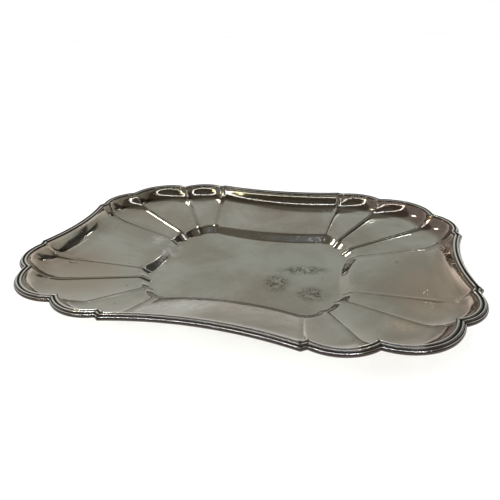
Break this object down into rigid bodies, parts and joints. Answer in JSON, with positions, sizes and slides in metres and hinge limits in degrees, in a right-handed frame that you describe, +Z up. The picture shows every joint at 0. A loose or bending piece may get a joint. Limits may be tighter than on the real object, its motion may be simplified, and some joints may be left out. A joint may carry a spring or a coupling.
{
  "type": "serving tray",
  "caption": "Footless oblong serving tray of plated metal: flat well, shallow fluted sides bowed in along the edges, scalloped corners and an applied reeded border",
  "frame": {"origin": "centre of the tray's underside, on the plane of the flat well bottom it rests on", "axes": "+X along the long sides, +Y across the tray towards the back long side, +Z up out of the hollow"},
  "size_m": [0.361, 0.2766, 0.0316],
  "materials": {
    "plated_sheet": "mirror-polished silver plate, tarnished grey-olive, with fine scratches and stain specks in the well",
    "plated_border": "polished silver plate, darkened brown in the grooves of the reeding"
  },
  "bodies": {
    "root": {"tray_body": "plated_sheet", "moulding_side_back": "plated_border", "moulding_side_front": "plated_border", "moulding_side_left": "plated_border", "moulding_side_right": "plated_border", "step_long_back_left": "plated_border", "step_long_back_right": "plated_border", "step_long_front_left": "plated_border", "step_long_front_right": "plated_border", "lobe_long_back_left": "plated_border", "lobe_long_back_right": "plated_border", "lobe_long_front_left": "plated_border", "lobe_long_front_right": "plated_border", "lobe_corner_back_left": "plated_border", "lobe_corner_back_right": "plated_border", "lobe_corner_front_left": "plated_border", "lobe_corner_front_right": "plated_border", "lobe_short_back_left": "plated_border", "lobe_short_back_right": "plated_border", "lobe_short_front_left": "plated_border", "lobe_short_front_right": "plated_border", "step_short_back_left": "plated_border", "step_short_back_right": "plated_border", "step_short_front_left": "plated_border", "step_short_front_right": "plated_border"}
  },
  "joints": []
}
